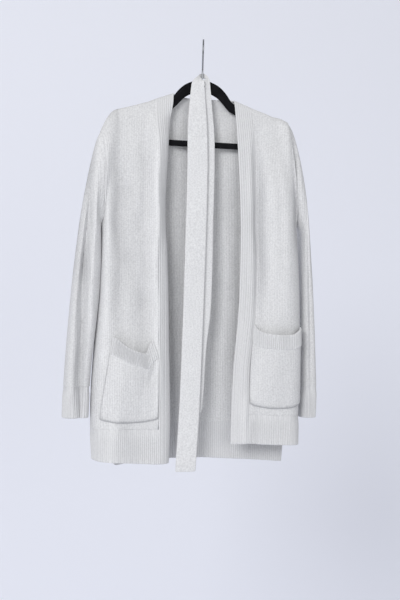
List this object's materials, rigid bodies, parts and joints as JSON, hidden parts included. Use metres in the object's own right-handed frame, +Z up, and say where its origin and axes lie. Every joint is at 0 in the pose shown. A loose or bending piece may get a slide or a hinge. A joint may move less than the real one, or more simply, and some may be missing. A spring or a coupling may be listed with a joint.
{
  "type": "knitted cardigan on a clothes hanger",
  "caption": "Open-front longline knitted cardigan with ribbed trims, patch pockets and a tie belt, hanging on a slim flocked clothes hanger.",
  "frame": {"origin": "inside top of the hanger's hook, where a rail carries it", "axes": "+Z up, the garment's front faces -Y, +X towards the right of the garment as seen from the front"},
  "size_m": [0.562, 0.1266, 0.9256],
  "materials": {
    "knit": "light heather grey plain knit",
    "rib_knit": "light heather grey rib knit",
    "black_flock": "black velvet flocking over plastic",
    "chrome": "polished wire"
  },
  "bodies": {
    "root": {"back": "knit", "band_left": "rib_knit", "band_neck": "rib_knit", "band_right": "rib_knit", "belt": "knit", "cuff_left": "rib_knit", "cuff_right": "rib_knit", "front_left": "knit", "front_right": "knit", "hanger_body": "black_flock", "hanger_hook": "chrome", "hem_back": "rib_knit", "hem_front_left": "rib_knit", "hem_front_right": "rib_knit", "pocket_left": "knit", "pocket_rib_left": "rib_knit", "pocket_rib_right": "rib_knit", "pocket_right": "knit", "sleeve_left": "knit", "sleeve_right": "knit"}
  },
  "joints": []
}
